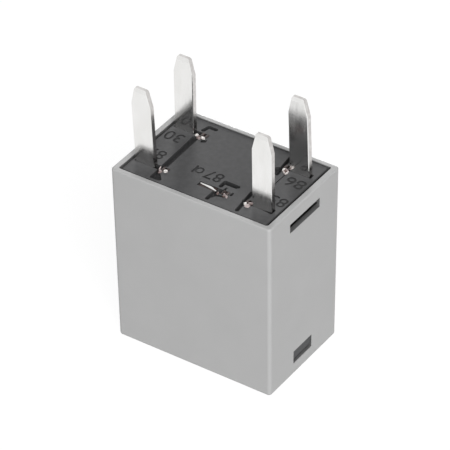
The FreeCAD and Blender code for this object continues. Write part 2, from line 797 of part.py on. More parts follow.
for name, shape in build().items():
    shape.exportStep("parts/" + name + ".step")
    print(name, len(shape.Solids), "solids", round(shape.Volume, 3), "mm3, valid", shape.isValid())
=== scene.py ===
import math

import bmesh
import bpy
from mathutils import Matrix, Vector


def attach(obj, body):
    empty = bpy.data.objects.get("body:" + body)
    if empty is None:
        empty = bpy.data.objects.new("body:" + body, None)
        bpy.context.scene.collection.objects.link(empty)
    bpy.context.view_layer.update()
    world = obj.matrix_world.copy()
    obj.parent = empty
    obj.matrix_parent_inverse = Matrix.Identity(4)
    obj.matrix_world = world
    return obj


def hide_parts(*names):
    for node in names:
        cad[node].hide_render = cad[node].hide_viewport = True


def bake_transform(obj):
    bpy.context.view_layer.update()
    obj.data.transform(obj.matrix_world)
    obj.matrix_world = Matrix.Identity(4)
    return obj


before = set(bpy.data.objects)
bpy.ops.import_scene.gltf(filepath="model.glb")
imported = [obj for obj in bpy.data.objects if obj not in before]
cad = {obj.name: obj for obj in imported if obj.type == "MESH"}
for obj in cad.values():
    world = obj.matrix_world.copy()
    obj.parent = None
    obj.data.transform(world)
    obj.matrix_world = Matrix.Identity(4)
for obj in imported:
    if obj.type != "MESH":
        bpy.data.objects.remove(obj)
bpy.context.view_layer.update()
mm = 0.001


# Bobbin. Injection moulded in glass-filled polyester: two flanges that hold the winding, four
# horns that plug into the base, and a nib that shows in the cover's lower window.

def step(tree, kind, settings=(), **inputs):
    """Adds a node. An input goes by its name, or by its number as in at1, and a socket is linked to it."""
    made = tree.nodes.new(kind)
    for name, value in dict(settings).items():
        setattr(made, name, value)
    for name, value in inputs.items():
        socket = made.inputs[int(name[2:]) if name.startswith("at") else name.replace("_", " ")]
        if isinstance(value, bpy.types.NodeSocket):
            tree.links.new(value, socket)
        else:
            socket.default_value = value
    return made


def finish(name, colour, metallic, roughness, specular=0.5):
    """A new finish, with its even values on the shader's own sockets."""
    material = bpy.data.materials.new(name)
    material.use_nodes = True
    shader = material.node_tree.nodes["Principled BSDF"]
    for socket, value in (("Base Color", (*colour, 1)), ("Metallic", metallic),
                          ("Roughness", roughness), ("Specular IOR Level", specular)):
        shader.inputs[socket].default_value = value
    return material


def speckle(material, size, detail=2.0, stretch=(1, 1, 1)):
    """Noise on the piece itself, with features of about this size, drawn out by stretch."""
    tree = material.node_tree
    place = step(tree, "ShaderNodeTexCoord").outputs["Object"]
    drawn = step(tree, "ShaderNodeMapping", Vector=place, Scale=[1 / s for s in stretch])
    return step(tree, "ShaderNodeTexNoise", Vector=drawn.outputs["Vector"], Scale=1 / size,
                Detail=detail).outputs["Fac"]


def relief(material, height, depth):
    """Turns a pattern into bump of this depth."""
    tree = material.node_tree
    shader = tree.nodes["Principled BSDF"]
    bump = step(tree, "ShaderNodeBump", Height=height, Distance=depth)
    if shader.inputs["Normal"].is_linked:
        tree.links.new(shader.inputs["Normal"].links[0].from_socket, bump.inputs["Normal"])
    tree.links.new(bump.outputs["Normal"], shader.inputs["Normal"])


def shades(material, pattern, socket, stops):
    """Spreads a pattern over a few shades, as (place, value), and puts them in a shader's socket."""
    tree = material.node_tree
    ramp = step(tree, "ShaderNodeValToRGB", Fac=pattern)
    elements = ramp.color_ramp.elements
    while len(elements) < len(stops):
        elements.new(0.5)
    for element, (place, value) in zip(elements, stops):
        element.position = place
        element.color = (*value, 1) if isinstance(value, tuple) else (value, value, value, 1)
    tree.links.new(ramp.outputs["Color"], tree.nodes["Principled BSDF"].inputs[socket])


def dress(piece, material):
    """Puts a finish on a CAD node or on a new piece."""
    if not piece.material_slots:
        piece.data.materials.append(material)
    for slot in piece.material_slots:
        slot.material = material


glass_filled = finish("glass_filled_polyester", (0.048, 0.049, 0.051), 0.0, 0.5, specular=0.3)
fibres = speckle(glass_filled, 0.12 * mm, stretch=(5, 1, 1))
shades(glass_filled, fibres, "Base Color", [(0.35, (0.042, 0.043, 0.045)), (0.75, (0.062, 0.063, 0.066))])
relief(glass_filled, fibres, 0.004 * mm)
dress(cad["bobbin"], glass_filled)


# Winding. Enamelled copper wire, machine wound in close turns from flange to flange: the outer
# layer is one helix, over a sleeve that stands for the layers under it.

coil_axis_z = 6.85 * mm
winding_left, winding_right = -3.66 * mm, 8.27 * mm
winding_radius, barrel_radius = 5.3 * mm, 2.88 * mm
winding_wire = 0.2 * mm
winding_turns = int((winding_right - winding_left - winding_wire) / winding_wire)


def geometry_tree(name, **sizes):
    """A geometry tree that has these named inputs. Gives the tree and its inputs' sockets."""
    tree = bpy.data.node_groups.new(name, "GeometryNodeTree")
    tree.interface.new_socket("Points", in_out="INPUT", socket_type="NodeSocketGeometry")
    tree.interface.new_socket("Piece", in_out="OUTPUT", socket_type="NodeSocketGeometry")
    kinds = {int: "NodeSocketInt", float: "NodeSocketFloat", tuple: "NodeSocketVector"}
    for label, value in sizes.items():
        socket = tree.interface.new_socket(label, in_out="INPUT", socket_type=kinds[type(value)])
        socket.default_value = value
    return tree, tree.nodes.new("NodeGroupInput").outputs


def end_tree(tree, geometry, material):
    """Ends a tree in real faces that carry a finish."""
    real = step(tree, "GeometryNodeRealizeInstances", Geometry=geometry)
    finished = step(tree, "GeometryNodeSetMaterial", Geometry=real.outputs["Geometry"], Material=material)
    step(tree, "NodeGroupOutput", Piece=finished.outputs["Geometry"])


def made_by(tree, name, points=(), marks=None, **sizes):
    """Runs a tree once on these points, each with its own marks, and keeps the result as a plain mesh."""
    piece = bpy.data.objects.new(name, bpy.data.meshes.new(name + "_points"))
    piece.data.from_pydata(list(points), [], [])
    for mark, values in (marks or {}).items():
        piece.data.attributes.new(mark, "FLOAT", "POINT").data.foreach_set("value", values)
    bpy.context.scene.collection.objects.link(piece)
    modifier = piece.modifiers.new(name, "NODES")
    modifier.node_group = tree
    for item in tree.interface.items_tree:
        if item.in_out == "INPUT" and item.name in sizes:
            modifier[item.identifier] = sizes[item.name]
    evaluated = piece.evaluated_get(bpy.context.evaluated_depsgraph_get())
    mesh = bpy.data.meshes.new_from_object(evaluated)
    piece.modifiers.remove(modifier)
    mesh.materials.pop(index=0)
    piece.data = mesh
    return piece


def reckon(tree, operation, *values):
    """Adds a sum to a tree, from numbers or sockets, and gives its result."""
    inputs = {f"at{i}": value for i, value in enumerate(values)}
    return step(tree, "ShaderNodeMath", {"operation": operation}, **inputs).outputs[0]


copper_enamel = finish("copper_enamel", (0.60, 0.25, 0.10), 1.0, 0.28)
shades(copper_enamel, speckle(copper_enamel, 1.5 * mm), "Base Color",
       [(0.3, (0.50, 0.19, 0.07)), (0.7, (0.66, 0.29, 0.12))])
copper_enamel.node_tree.nodes["Principled BSDF"].inputs["Coat Weight"].default_value = 0.6

tree, size = geometry_tree("winding_tree", Turns=10.0, Length=0.01, Radius=0.005, Barrel=0.003, Wire=0.0002)
helix = step(tree, "GeometryNodeCurveSpiral", Resolution=40, Rotations=size["Turns"],
             Start_Radius=size["Radius"], End_Radius=size["Radius"], Height=size["Length"])
half_wire = reckon(tree, "MULTIPLY", size["Wire"], 0.5)
round_wire = step(tree, "GeometryNodeCurvePrimitiveCircle", Resolution=8, Radius=half_wire)
turns = step(tree, "GeometryNodeCurveToMesh", Curve=helix.outputs["Curve"],
             Profile_Curve=round_wire.outputs["Curve"], Fill_Caps=True)
under = reckon(tree, "SUBTRACT", size["Radius"], size["Barrel"])
middle = reckon(tree, "ADD", size["Radius"], size["Barrel"])
middle = reckon(tree, "MULTIPLY", middle, 0.5)
ring = step(tree, "GeometryNodeCurvePrimitiveCircle", Resolution=64, Radius=middle)
wall = step(tree, "GeometryNodeCurvePrimitiveQuadrilateral", Width=under, Height=size["Length"])
sleeve = step(tree, "GeometryNodeCurveToMesh", Curve=ring.outputs["Curve"],
              Profile_Curve=wall.outputs["Curve"])
half_length = reckon(tree, "MULTIPLY", size["Length"], 0.5)
lift = step(tree, "ShaderNodeCombineXYZ", Z=half_length).outputs["Vector"]
sleeve = step(tree, "GeometryNodeTransform", Geometry=sleeve.outputs["Mesh"], Translation=lift)
smooth_turns = step(tree, "GeometryNodeSetShadeSmooth", Geometry=turns.outputs["Mesh"])
both = step(tree, "GeometryNodeJoinGeometry")
tree.links.new(smooth_turns.outputs["Geometry"], both.inputs["Geometry"])
tree.links.new(sleeve.outputs["Geometry"], both.inputs["Geometry"])
end_tree(tree, both.outputs["Geometry"], copper_enamel)

winding = made_by(tree, "winding_turns", Turns=float(winding_turns), Wire=winding_wire,
                  Radius=winding_radius - winding_wire / 2, Barrel=barrel_radius,
                  Length=winding_right - winding_left - winding_wire)
along_x = Matrix.Rotation(math.pi / 2, 4, "Y")
winding.data.transform(Matrix.Translation((winding_left + winding_wire / 2, 0, coil_axis_z)) @ along_x)
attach(winding, "relay_frame")
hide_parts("winding")


# Tape. Amber polyester film, wound a little over once round the finished coil, so that its end
# lies on its start and keeps the winding closed.

tape_left, tape_right = -3.36 * mm, 7.27 * mm
tape_film = 0.03 * mm
tape_start_radius, tape_end_radius = 5.305 * mm, 5.365 * mm
tape_start, tape_overlap = math.radians(200), math.radians(70)


def swept_sheet(name, outline, x0, x1):
    """A closed strip of faces: the outline is a ring of (y, z) points, carried from x0 to x1."""
    mesh = bmesh.new()
    rings = [[mesh.verts.new((x, y, z)) for y, z in outline] for x in (x0, x1)]
    count = len(outline)
    for i in range(count):
        j = (i + 1) % count
        mesh.faces.new((rings[0][i], rings[0][j], rings[1][j], rings[1][i]))
    half = count // 2
    for ring, turn in ((rings[0], 1), (rings[1], -1)):
        for i in range(half - 1):
            mesh.faces.new((ring[i], ring[i + 1], ring[count - 2 - i], ring[count - 1 - i])[::turn])
    bmesh.ops.recalc_face_normals(mesh, faces=mesh.faces)
    piece = bpy.data.objects.new(name, bpy.data.meshes.new(name))
    mesh.to_mesh(piece.data)
    mesh.free()
    bpy.context.scene.collection.objects.link(piece)
    return piece


def tape_outline():
    """The film's section: out along its inner face, and back along its outer face."""
    steps = 96
    inner, outer = [], []
    for i in range(steps + 1):
        share = i / steps
        angle = share * (2 * math.pi + tape_overlap) + tape_start
        radius = tape_start_radius + (tape_end_radius - tape_start_radius) * share
        for side, r in ((inner, radius), (outer, radius + tape_film)):
            side.append((r * math.cos(angle), coil_axis_z + r * math.sin(angle)))
    return inner + outer[::-1]


polyester_film = finish("polyester_film", (0.62, 0.40, 0.10), 0.0, 0.22)
shades(polyester_film, speckle(polyester_film, 0.8 * mm, stretch=(1, 6, 6)), "Base Color",
       [(0.3, (0.55, 0.34, 0.08)), (0.7, (0.68, 0.45, 0.13))])
relief(polyester_film, speckle(polyester_film, 1.2 * mm), 0.01 * mm)
tape = swept_sheet("film_wrap", tape_outline(), tape_left, tape_right)
tape.data.shade_smooth()
dress(tape, polyester_film)
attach(tape, "relay_frame")
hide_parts("winding_tape")


# Core and yoke. The core is a headed pin of soft iron and the yoke is stamped and bent from the
# same iron. The core's tail is staked in the yoke, and both have a dull bright plating.

def plated_iron(name, stretch):
    """Soft iron with a thin plating that keeps the marks of rolling or turning."""
    material = finish(name, (0.56, 0.56, 0.54), 1.0, 0.34)
    marks = speckle(material, 0.1 * mm, detail=4.0, stretch=stretch)
    shades(material, marks, "Roughness", [(0.3, 0.27), (0.7, 0.42)])
    shades(material, speckle(material, 2.5 * mm), "Base Color",
           [(0.3, (0.50, 0.50, 0.48)), (0.7, (0.60, 0.60, 0.59))])
    relief(material, marks, 0.002 * mm)
    return material


rolled_iron = plated_iron("rolled_iron", (8, 1, 1))
dress(cad["yoke"], rolled_iron)

turned_iron = plated_iron("turned_iron", (1, 1, 1))
tree = turned_iron.node_tree
place = step(tree, "ShaderNodeTexCoord").outputs["Object"]
from_axis = step(tree, "ShaderNodeMapping", Vector=place, Location=(0, 0, -coil_axis_z))
tool_marks = step(tree, "ShaderNodeTexWave", {"wave_type": "RINGS", "rings_direction": "X"},
                  Vector=from_axis.outputs["Vector"], Scale=2200.0, Distortion=1.5, Detail=1.0)
relief(turned_iron, tool_marks.outputs["Fac"], 0.003 * mm)
dress(cad["core"], turned_iron)


# Armature. A stamped soft iron plate that rocks on the yoke's edge. Its top edge is bevelled where
# it turns, and it stands open until the coil draws its foot to the pole.

hinge = Vector((-5.56 * mm, 0, 14.0 * mm))
open_angle = math.radians(5)
opened = Matrix.Translation(hinge) @ Matrix.Rotation(open_angle, 4, "Y") @ Matrix.Translation(-hinge)
stamped_iron = plated_iron("stamped_iron", (1, 1, 8))
dress(cad["armature"], stamped_iron)


# Contact spring. A forked leaf of rolled copper alloy, 0.25 mm thick. Its outer fingers bend over
# onto the yoke, its body is riveted to the armature, and its middle arm carries the contact.

def own_copy(node, name):
    """A copy of a CAD node's mesh, with its loose triangles merged into one closed surface."""
    mesh = bmesh.new()
    mesh.from_mesh(cad[node].data)
    bmesh.ops.remove_doubles(mesh, verts=mesh.verts, dist=0.0005 * mm)
    bmesh.ops.dissolve_limit(mesh, angle_limit=math.radians(0.5), verts=mesh.verts, edges=mesh.edges)
    piece = bpy.data.objects.new(name, bpy.data.meshes.new(name))
    bpy.context.scene.collection.objects.link(piece)
    return piece, mesh


rolled_bronze = finish("rolled_bronze", (0.68, 0.47, 0.27), 1.0, 0.26)
grain = speckle(rolled_bronze, 0.08 * mm, detail=3.0, stretch=(1, 1, 10))
shades(rolled_bronze, grain, "Roughness", [(0.3, 0.20), (0.7, 0.33)])
shades(rolled_bronze, speckle(rolled_bronze, 2.0 * mm), "Base Color",
       [(0.3, (0.60, 0.40, 0.22)), (0.7, (0.74, 0.52, 0.31))])
relief(rolled_bronze, grain, 0.0015 * mm)

bend_right, bend_left = -5.45 * mm, -5.95 * mm
leaf, mesh = own_copy("contact_spring", "spring_leaf")
cuts = 6
for i in range(cuts + 1):
    x = bend_right + (bend_left - bend_right) * i / cuts
    bmesh.ops.bisect_plane(mesh, geom=mesh.verts[:] + mesh.edges[:] + mesh.faces[:],
                           plane_co=(x, 0, 0), plane_no=(1, 0, 0))
mesh.to_mesh(leaf.data)
mesh.free()
leaf.data.set_sharp_from_angle(angle=math.radians(30))
dress(leaf, rolled_bronze)
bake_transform(leaf)
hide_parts("contact_spring")


# Rivets. Plated steel with low domed heads: two hold the spring's fingers on the yoke, and two
# hold its body on the armature, which they move with. Both pairs are peened flush behind.

yoke_top = 14.0 * mm
yoke_thickness, spring_thickness, armature_thickness = 1.2 * mm, 0.25 * mm, 1.0 * mm
yoke_rivet_x, yoke_rivet_y, yoke_rivet_diameter = -2.76 * mm, 2.9 * mm, 1.2 * mm
leaf_outer_x = -6.83 * mm
armature_rivet_y, armature_rivet_z, armature_rivet_diameter = 2.2 * mm, 8.6 * mm, 1.3 * mm
head_margin, head_height = 0.45 * mm, 0.35 * mm

plated_steel = finish("plated_steel", (0.62, 0.62, 0.63), 1.0, 0.3)
shades(plated_steel, speckle(plated_steel, 0.15 * mm), "Roughness", [(0.3, 0.22), (0.7, 0.38)])
relief(plated_steel, speckle(plated_steel, 0.3 * mm), 0.006 * mm)

tree, size = geometry_tree("rivet_tree", Shank=0.001, Grip=0.001, Head=0.002, Rise=0.0003,
                           Turn=(0.0, 0.0, 0.0))
spine = step(tree, "GeometryNodeCurvePrimitiveLine", End=(0, 0, 1))
spine = step(tree, "GeometryNodeResampleCurve", Curve=spine.outputs["Curve"], Count=9)
share = step(tree, "GeometryNodeSplineParameter").outputs["Factor"]
angle = reckon(tree, "MULTIPLY", share, math.radians(89))
climb = reckon(tree, "SINE", angle)
spread = reckon(tree, "COSINE", angle)
height = reckon(tree, "MULTIPLY", climb, size["Rise"])
place = step(tree, "ShaderNodeCombineXYZ", Z=height).outputs["Vector"]
radius = reckon(tree, "MULTIPLY", spread, size["Head"])
radius = reckon(tree, "MULTIPLY", radius, 0.5)
dome = step(tree, "GeometryNodeSetPosition", Geometry=spine.outputs["Curve"], Position=place)
outline = step(tree, "GeometryNodeCurvePrimitiveCircle", Resolution=40, Radius=1.0)
dome = step(tree, "GeometryNodeCurveToMesh", Curve=dome.outputs["Geometry"],
            Profile_Curve=outline.outputs["Curve"], Scale=radius, Fill_Caps=True)
dome = step(tree, "GeometryNodeSetShadeSmooth", Geometry=dome.outputs["Mesh"])
half_shank = reckon(tree, "MULTIPLY", size["Shank"], 0.5)
half_grip = reckon(tree, "MULTIPLY", size["Grip"], -0.5)
shank = step(tree, "GeometryNodeMeshCylinder", Vertices=32, Radius=half_shank, Depth=size["Grip"])
down = step(tree, "ShaderNodeCombineXYZ", Z=half_grip).outputs["Vector"]
shank = step(tree, "GeometryNodeTransform", Geometry=shank.outputs["Mesh"], Translation=down)
rivet = step(tree, "GeometryNodeJoinGeometry")
tree.links.new(dome.outputs["Geometry"], rivet.inputs["Geometry"])
tree.links.new(shank.outputs["Geometry"], rivet.inputs["Geometry"])
points = tree.nodes["Group Input"].outputs["Points"]
rivets = step(tree, "GeometryNodeInstanceOnPoints", Points=points, Instance=rivet.outputs["Geometry"],
              Rotation=size["Turn"])
end_tree(tree, rivets.outputs["Instances"], plated_steel)

seat = yoke_top + spring_thickness
yoke_rivets = made_by(tree, "domed_yoke_rivets",
                      [(yoke_rivet_x, side * yoke_rivet_y, seat) for side in (1, -1)],
                      Shank=yoke_rivet_diameter, Head=yoke_rivet_diameter + 2 * head_margin,
                      Rise=head_height, Grip=yoke_thickness + spring_thickness)
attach(yoke_rivets, "relay_frame")
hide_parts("yoke_rivets")

armature_rivets = made_by(tree, "domed_armature_rivets",
                          [(leaf_outer_x, side * armature_rivet_y, armature_rivet_z) for side in (1, -1)],
                          Shank=armature_rivet_diameter, Head=armature_rivet_diameter + 2 * head_margin,
                          Rise=head_height, Grip=armature_thickness + spring_thickness,
                          Turn=(0.0, -math.pi / 2, 0.0))
armature_rivets.data.transform(opened)
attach(armature_rivets, "armature_set")
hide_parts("armature_rivets")


# Contacts. Silver alloy rivets: a double-headed one in the spring's arm, and a domed one in the
# strip of each contact terminal. Their faces are a little matt where they meet.

worn_silver = finish("worn_silver", (0.80, 0.79, 0.77), 1.0, 0.3)
shades(worn_silver, speckle(worn_silver, 0.2 * mm, detail=4.0), "Roughness", [(0.3, 0.24), (0.7, 0.42)])
relief(worn_silver, speckle(worn_silver, 0.25 * mm), 0.004 * mm)
for node in ("moving_contact", "fixed_contact_87", "fixed_contact_87a"):
    dress(cad[node], worn_silver)


# Terminals. Stamped from 0.8 mm copper alloy strip with bright tin plating: each has a bevelled
# blade above the base, a little bent by handling, and a strip below it that is bent to a contact,
# a post or the yoke. The fifth blade is clipped off just below the base's face.

bright_tin = finish("bright_tin", (0.80, 0.79, 0.78), 1.0, 0.17)
smears = speckle(bright_tin, 0.35 * mm, detail=3.0, stretch=(1, 1, 5))
shades(bright_tin, smears, "Roughness", [(0.3, 0.13), (0.7, 0.21)])
shades(bright_tin, speckle(bright_tin, 1.4 * mm, stretch=(1, 1, 3)), "Base Color",
       [(0.3, (0.775, 0.77, 0.755)), (0.7, (0.825, 0.82, 0.81))])
relief(bright_tin, smears, 0.001 * mm)
relief(bright_tin, speckle(bright_tin, 0.45 * mm, detail=1.0), 0.002 * mm)

cut_tin = finish("cut_tin", (0.60, 0.585, 0.575), 1.0, 0.19)
shears = speckle(cut_tin, 0.12 * mm, detail=3.0, stretch=(1, 6, 1))
shades(cut_tin, shears, "Roughness", [(0.3, 0.15), (0.7, 0.24)])
shades(cut_tin, speckle(cut_tin, 0.5 * mm, detail=3.0), "Base Color",
       [(0.3, (0.53, 0.51, 0.50)), (0.55, (0.61, 0.595, 0.585)), (0.7, (0.68, 0.67, 0.66))])
relief(cut_tin, shears, 0.003 * mm)

torn_metal_and_painted_shadow = finish("torn_metal_and_painted_shadow", (0.5, 0.45, 0.44), 0.6, 0.55)
tree = torn_metal_and_painted_shadow.node_tree
shade = step(tree, "ShaderNodeAttribute", {"attribute_name": "shade"}).outputs["Fac"]
patches = reckon(tree, "MULTIPLY_ADD", speckle(torn_metal_and_painted_shadow, 0.3 * mm), 0.35, shade)
# Painted shadow: the ramp's darkest stops paint the tears and the slots round the shoulders black; the
# lighter stops are torn copper and tin.
shades(torn_metal_and_painted_shadow, patches, "Base Color",
       [(0.12, (0.010, 0.009, 0.009)), (0.32, (0.09, 0.052, 0.045)), (0.62, (0.30, 0.245, 0.24)),
        (0.88, (0.44, 0.38, 0.37)), (1.0, (0.62, 0.60, 0.58))])
relief(torn_metal_and_painted_shadow, speckle(torn_metal_and_painted_shadow, 0.15 * mm), 0.015 * mm)

blade_left, blade_right, row_front, row_back = -8.6 * mm, 8.2 * mm, -4.2 * mm, 4.2 * mm
blade_half, blade_length, base_top, shoulder_height = 1.4 * mm, 10.7 * mm, 25.6 * mm, 0.8 * mm


def knocked_blade(node, blade_x, root_shift, tip_shift, tip_lean=0.0):
    """A copy of a terminal with its blade's root and tip shifted in X, and its tip leant in Y."""
    piece, mesh = own_copy(node, "knocked_" + node)
    for z in (base_top - 0.2 * mm, base_top):
        bmesh.ops.bisect_plane(mesh, geom=mesh.verts[:] + mesh.edges[:] + mesh.faces[:],
                               plane_co=(0, 0, z), plane_no=(0, 0, 1))
    for vert in mesh.verts:
        height = vert.co.z - base_top
        if height > -0.1 * mm and abs(vert.co.x - blade_x) < blade_half + 0.01 * mm:
            vert.co.x += root_shift + (tip_shift - root_shift) * height / blade_length
            vert.co.y += tip_lean * height / blade_length
    mesh.to_mesh(piece.data)
    mesh.free()
    finish_terminal(piece, node, blade_x, blade_half)


def finish_terminal(piece, node, middle_x, half):
    """Tin all over, duller where the press cut round the blade, and near black round the shoulder: painted
    shade, with dark torn copper in patches.
    """
    piece.data.set_sharp_from_angle(angle=math.radians(25))
    for material in (bright_tin, cut_tin, torn_metal_and_painted_shadow):
        piece.data.materials.append(material)
    for face in piece.data.polygons:
        x, y, z = face.center
        # Painted shade: the shoulder's faces near the base's face get the torn finish, which without a
        # shade mark is near black.
        if abs(x - middle_x) > half + 0.01 * mm and abs(z - base_top) < shoulder_height:
            face.material_index = 2
        elif abs(face.normal.y) < 0.1 and z > base_top + 0.1 * mm:
            face.material_index = 1
    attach(piece, "relay_frame")
    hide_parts(node)


knocked_blade("terminal_30", blade_left, 0, -0.02 * mm)
knocked_blade("terminal_85", blade_right, 0.15 * mm, 0.1 * mm)
knocked_blade("terminal_86", blade_right, 0, -0.50 * mm, tip_lean=0.3 * mm)
knocked_blade("terminal_87", blade_left, 0, -0.45 * mm)

# The cutters leave a bright wedge across the stub's end, between these two lines from left to right.
stub_x, stub_half, stub_top, stub_rise = 0.37 * mm, 1.25 * mm, 25.44 * mm, 0.06 * mm
wedge_front = (Vector((-0.88, -4.02, 0)) * mm, Vector((1.62, -4.38, 0)) * mm)
wedge_back = (Vector((0.50, -3.79, 0)) * mm, Vector((1.62, -4.28, 0)) * mm)
wedge_lines = (wedge_front, wedge_back)
stub, mesh = own_copy("terminal_87a", "clipped_terminal_87a")
for left, right in wedge_lines:
    bmesh.ops.bisect_plane(mesh, geom=mesh.verts[:] + mesh.edges[:] + mesh.faces[:], plane_co=left,
                           plane_no=(right - left).cross(Vector((0, 0, 1))).normalized())
for vert in mesh.verts:
    if abs(vert.co.z - stub_top) < 0.01 * mm:
        vert.co.z += stub_rise
mesh.to_mesh(stub.data)
mesh.free()
finish_terminal(stub, "terminal_87a", stub_x, stub_half)
# Painted shade: the stub's end outside the bright wedge gets the torn finish, painted near black for the
# shade of its slot.
for face in stub.data.polygons:
    if face.center.z > stub_top and face.normal.z > 0.9:
        past_front, past_back = [(right - left).cross(face.center - left).z > 0
                                 for left, right in wedge_lines]
        if past_back or not past_front:
            face.material_index = 2


# Staked shoulders. After each strip is pressed in, a tool shears the ends of its shoulder over the base,
# and the torn lumps show the copper alloy under the tin. The darkest lumps are painted shadow, put where
# the tears lie in shade.

tree, size = geometry_tree("lump_tree", Roughness=0.3)
lump = step(tree, "GeometryNodeMeshIcoSphere", Radius=0.5, Subdivisions=2)
dents = step(tree, "ShaderNodeTexNoise", {"noise_dimensions": "4D"}, W=0.7, Scale=2.2, Detail=1.0)
dents = step(tree, "ShaderNodeVectorMath", {"operation": "SUBTRACT"}, at0=dents.outputs["Color"],
             at1=(0.5, 0.5, 0.5))
dents = step(tree, "ShaderNodeVectorMath", {"operation": "SCALE"}, at0=dents.outputs[0],
             Scale=size["Roughness"])
lump = step(tree, "GeometryNodeSetPosition", Geometry=lump.outputs["Mesh"], Offset=dents.outputs[0])
mark = {}
for name in ("width", "length", "height", "turn"):
    named = step(tree, "GeometryNodeInputNamedAttribute", {"data_type": "FLOAT"}, Name=name)
    mark[name] = named.outputs["Attribute"]
grown = step(tree, "ShaderNodeCombineXYZ", X=mark["width"], Y=mark["length"], Z=mark["height"])
turned = step(tree, "ShaderNodeCombineXYZ", Z=mark["turn"])
points = tree.nodes["Group Input"].outputs["Points"]
cluster = step(tree, "GeometryNodeInstanceOnPoints", Points=points, Instance=lump.outputs["Geometry"],
               Rotation=turned.outputs["Vector"], Scale=grown.outputs["Vector"])
end_tree(tree, cluster.outputs["Instances"], torn_metal_and_painted_shadow)

# Each lump's x, y, width, length and height in mm, its turn in degrees, and its shade, which is 0 for a
# black painted shadow in a tear and 1 for bright tin. The rows are for terminals 87, 30, 85, 86 and 87a.
lumps = [
    (-6.48, -4.43, 0.26, 1.00, 0.27, 24, 0.62), (-5.64, -4.46, 0.60, 0.62, 0.21, 0, 0.82),
    (-6.10, -4.95, 0.32, 0.56, 0.18, -29, 0.34), (-6.15, -4.76, 0.55, 0.24, 0.21, 0, 0.50),
    (-6.10, -4.22, 0.46, 0.50, 0.13, 0, 0.05),
    (-6.72, 3.80, 0.52, 0.50, 0.24, 15, 0.82), (-6.33, 3.56, 0.34, 0.70, 0.19, -10, 0.24),
    (-5.76, 3.68, 0.76, 0.46, 0.21, -15, 0.82), (-6.08, 3.36, 0.42, 0.40, 0.18, 0, 0.42),
    (6.02, -4.66, 0.44, 0.48, 0.27, 0, 0.84), (6.52, -4.38, 0.64, 0.52, 0.21, 20, 0.30),
    (6.46, -4.94, 0.76, 0.64, 0.26, 30, 0.56),
    (6.09, 3.56, 0.32, 0.60, 0.24, 0, 0.82), (6.80, 3.18, 0.26, 0.70, 0.24, 0, 0.76),
    (6.48, 3.70, 0.86, 0.22, 0.21, -24, 0.58), (6.46, 3.10, 0.90, 0.24, 0.24, -34, 0.72),
    (6.45, 3.42, 0.60, 0.52, 0.14, 0, 0.16),
    (2.12, -4.72, 0.36, 0.60, 0.19, 20, 0.20), (2.98, -4.52, 0.56, 0.26, 0.18, -30, 0.44),
    (3.42, -4.78, 0.30, 0.50, 0.19, 20, 0.54), (3.05, -4.86, 0.46, 0.26, 0.16, -10, 0.18),
]
lump_x, lump_y, width, length, height, turn, shade = zip(*lumps)
marks = {"width": [mm * value for value in width], "length": [mm * value for value in length],
         "height": [mm * value for value in height], "turn": [math.radians(value) for value in turn],
         "shade": shade}
torn = made_by(tree, "torn_stakes_and_painted_shadows", [(x * mm, y * mm, base_top) for x, y in zip(lump_x, lump_y)],
               marks, Roughness=0.3)
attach(torn, "relay_frame")


# Base. A dark moulded plate, snapped in below the cover's rim, with slots for the strips, reliefs
# round the stakes and the usual terminal numbers sunk in its face, read from the back of the relay.
# What lies below its face, numbers, slots and reliefs included, is painted darker as painted shade, and the
# catches' ledges and the skirt above them are painted near black, a painted shadow of the windows.

number_width, number_height, number_depth = 2.4 * mm, 1.8 * mm, 0.12 * mm
number_weight = 0.006
a_width, a_height, a_stem, a_rise = 1.15 * mm, 1.25 * mm, 0.3 * mm, 1.5 * mm

dark_moulding = finish("dark_moulding", (0.081, 0.081, 0.083), 0.0, 0.55, specular=0.12)
shades(dark_moulding, speckle(dark_moulding, 0.6 * mm, detail=4.0), "Base Color",
       [(0.3, (0.074, 0.074, 0.076)), (0.7, (0.089, 0.089, 0.091))])
relief(dark_moulding, speckle(dark_moulding, 0.16 * mm, detail=3.0), 0.008 * mm)
# Painted shade: a darker finish for faces below the base's face, for the shade in the numbers, slots,
# reliefs and round the skirt.
painted_shade_moulding = finish("painted_shade_moulding", (0.045, 0.045, 0.046), 0.0, 0.6, specular=0.2)
shades(painted_shade_moulding, speckle(painted_shade_moulding, 0.3 * mm), "Base Color",
       [(0.3, (0.040, 0.040, 0.041)), (0.7, (0.050, 0.050, 0.051))])
# Painted shadow: a near-black finish for the catches' ledges and the skirt above them, seen through the
# windows.
painted_shadow_moulding = finish("painted_shadow_moulding", (0.008, 0.008, 0.008), 0.0, 0.7, specular=0.1)

cutters = bmesh.new()


def sink(body, x, y, width=number_width, height=number_height):
    """Adds the cutter for a few signs, fitted to a width and a height and read towards -X."""
    text = bpy.data.curves.new(body, "FONT")
    text.body, text.extrude, text.resolution_u, text.offset = body, number_depth, 6, number_weight
    writing = bpy.data.objects.new(body, text)
    bpy.context.scene.collection.objects.link(writing)
    evaluated = writing.evaluated_get(bpy.context.evaluated_depsgraph_get())
    letters = bpy.data.meshes.new_from_object(evaluated)
    low, high = [[pick(vert.co[axis] for vert in letters.vertices) for axis in (0, 1)]
                 for pick in (min, max)]
    middle = Matrix.Translation((-(low[0] + high[0]) / 2, -(low[1] + high[1]) / 2, 0))
    fit = Matrix.Diagonal((width / (high[0] - low[0]), height / (high[1] - low[1]), 1, 1))
    turned = Matrix.Translation((x, y, base_top)) @ Matrix.Rotation(math.pi, 4, "Z")
    letters.transform(turned @ fit @ middle)
    cutters.from_mesh(letters)
    bpy.data.objects.remove(writing)


